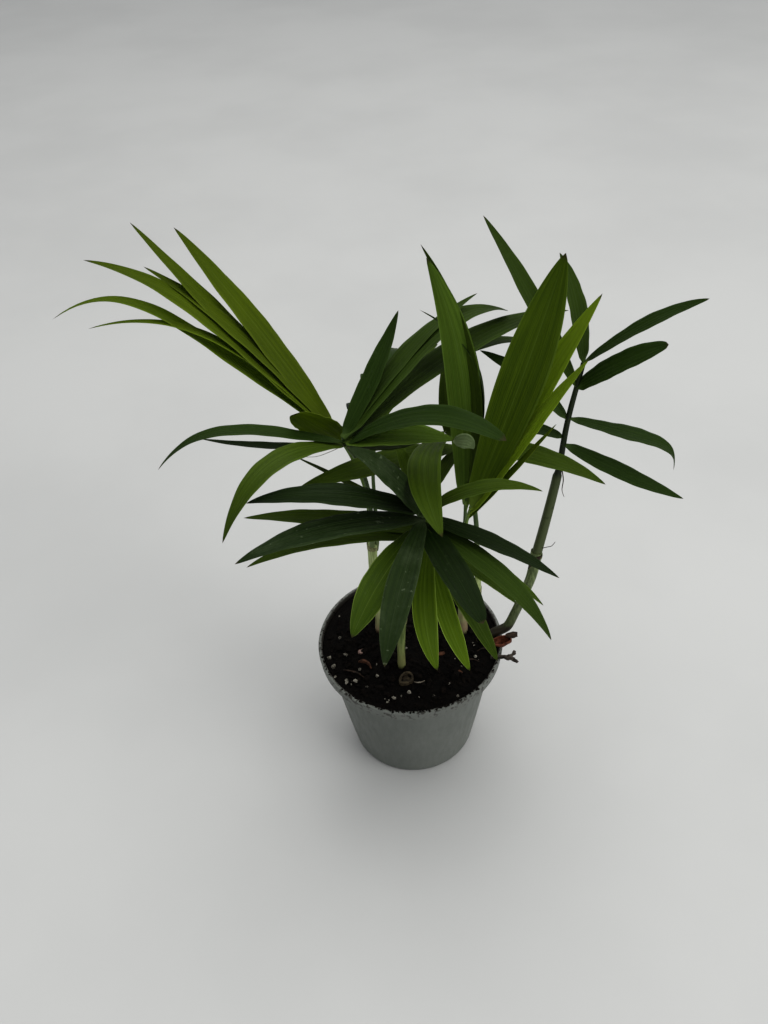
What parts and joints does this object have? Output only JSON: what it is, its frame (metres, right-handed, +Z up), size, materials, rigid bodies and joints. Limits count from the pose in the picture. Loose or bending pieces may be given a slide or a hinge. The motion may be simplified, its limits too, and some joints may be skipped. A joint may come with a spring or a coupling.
{
  "type": "potted parlour palm",
  "caption": "Young parlour palm: a clump of slim seedlings with feathery arching fronds, growing in soil in a small round tapered nursery pot.",
  "frame": {"origin": "centre of the pot's flat underside", "axes": "+Z up along the pot's axis, -Y towards the front from which the plant is seen, +X to the right of that view"},
  "size_m": [0.1625, 0.111, 0.178],
  "materials": {
    "pot_plastic": "matte grey-green plastic with a faint dust bloom",
    "potting_soil": "damp near-black peat with white perlite specks",
    "sheath": "smooth pale olive sheaths with fine veins",
    "husk": "dry brown seed coat",
    "leaf_young": "satin yellow-green blade with fine lengthwise veins",
    "leaf_bright": "satin fresh green blade with fine lengthwise veins",
    "leaf_mature": "satin dark green blade with fine lengthwise veins and a little dust"
  },
  "bodies": {
    "root": {"pot": "pot_plastic", "soil": "potting_soil", "cut_stub": "sheath", "seed_husk": "husk", "stem_left": "sheath", "stem_front": "sheath", "stem_middle": "sheath", "stem_back": "sheath", "stem_right": "sheath", "frond_left_young": "leaf_young", "frond_left": "leaf_mature", "frond_front": "leaf_mature", "frond_front_low": "leaf_bright", "frond_middle_young": "leaf_young", "frond_upper": "leaf_mature", "frond_back": "leaf_mature", "frond_rear": "leaf_mature", "frond_right": "leaf_mature"}
  },
  "joints": []
}
